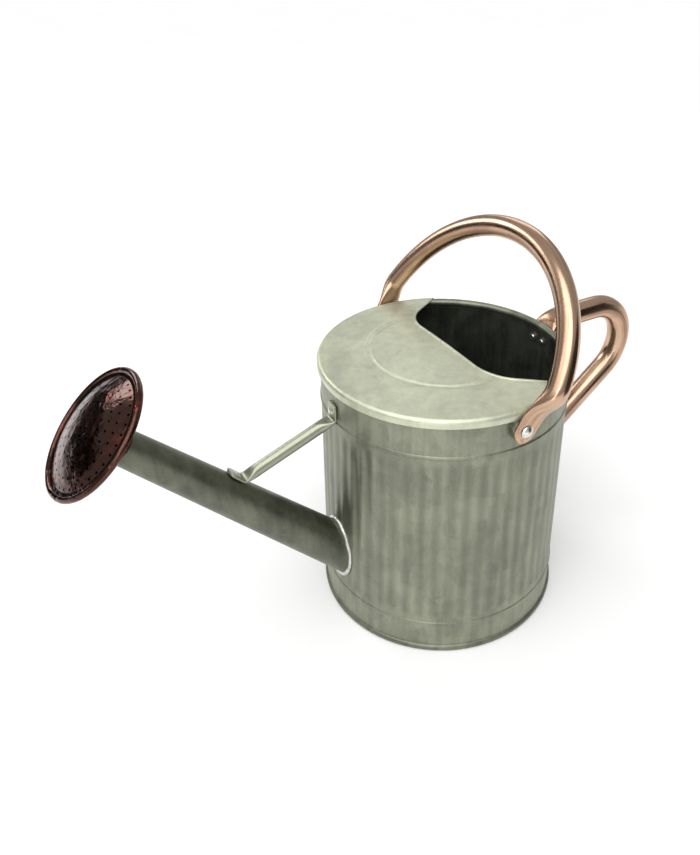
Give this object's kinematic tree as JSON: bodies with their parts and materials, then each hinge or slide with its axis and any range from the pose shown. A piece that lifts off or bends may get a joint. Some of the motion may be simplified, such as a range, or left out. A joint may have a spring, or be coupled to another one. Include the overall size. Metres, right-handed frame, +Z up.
{
  "type": "watering can",
  "caption": "Fluted sheet-metal watering can with a half-covered mouth, braced long spout, removable rose, swinging tube bail and fixed tube rear handle.",
  "frame": {"origin": "centre of the foot, at the level the can stands on", "axes": "+Z up; -X is the side of the spout, +X the side of the rear handle; the bail turns about a line along Y"},
  "size_m": [0.4774, 0.2232, 0.3078],
  "materials": {
    "zinc": "weathered hot-dip zinc, mottled and satin",
    "hood_zinc": "brighter zinc, satin",
    "solder": "smooth bright solder",
    "copper": "polished copper tube",
    "dark_copper": "polished dark copper",
    "steel": "bright plated steel"
  },
  "bodies": {
    "can": {"body_shell": "zinc", "rim_wire": "steel", "hood": "hood_zinc", "base_pan": "zinc", "base_hoop": "zinc", "spout_tube": "zinc", "spout_collar": "solder", "brace_tube": "hood_zinc", "brace_wall_rivet": "steel", "brace_spout_rivet": "steel", "bail_rivet_right": "steel", "bail_rivet_left": "steel", "bail_washers": "steel", "bail_burrs": "steel", "rear_handle": "copper", "rear_upper_rivets": "steel", "rear_lower_rivets": "steel", "rear_burrs": "steel"},
    "bail": {"bail_handle": "copper"},
    "rose": {"rose_collar": "dark_copper", "rose_back": "dark_copper", "rose_face": "dark_copper", "rose_rim": "dark_copper"}
  },
  "joints": [
    {"name": "bail_swing", "type": "hinge", "parent": "can", "child": "bail", "pos_m": [0, 0, 0.205], "axis": [0, 1, 0], "range_deg": [-119, 38]},
    {"name": "rose_pull", "type": "slide", "parent": "can", "child": "rose", "axis": [-0.6717, 0, 0.7408], "range_m": [0, 0.03]}
  ]
}
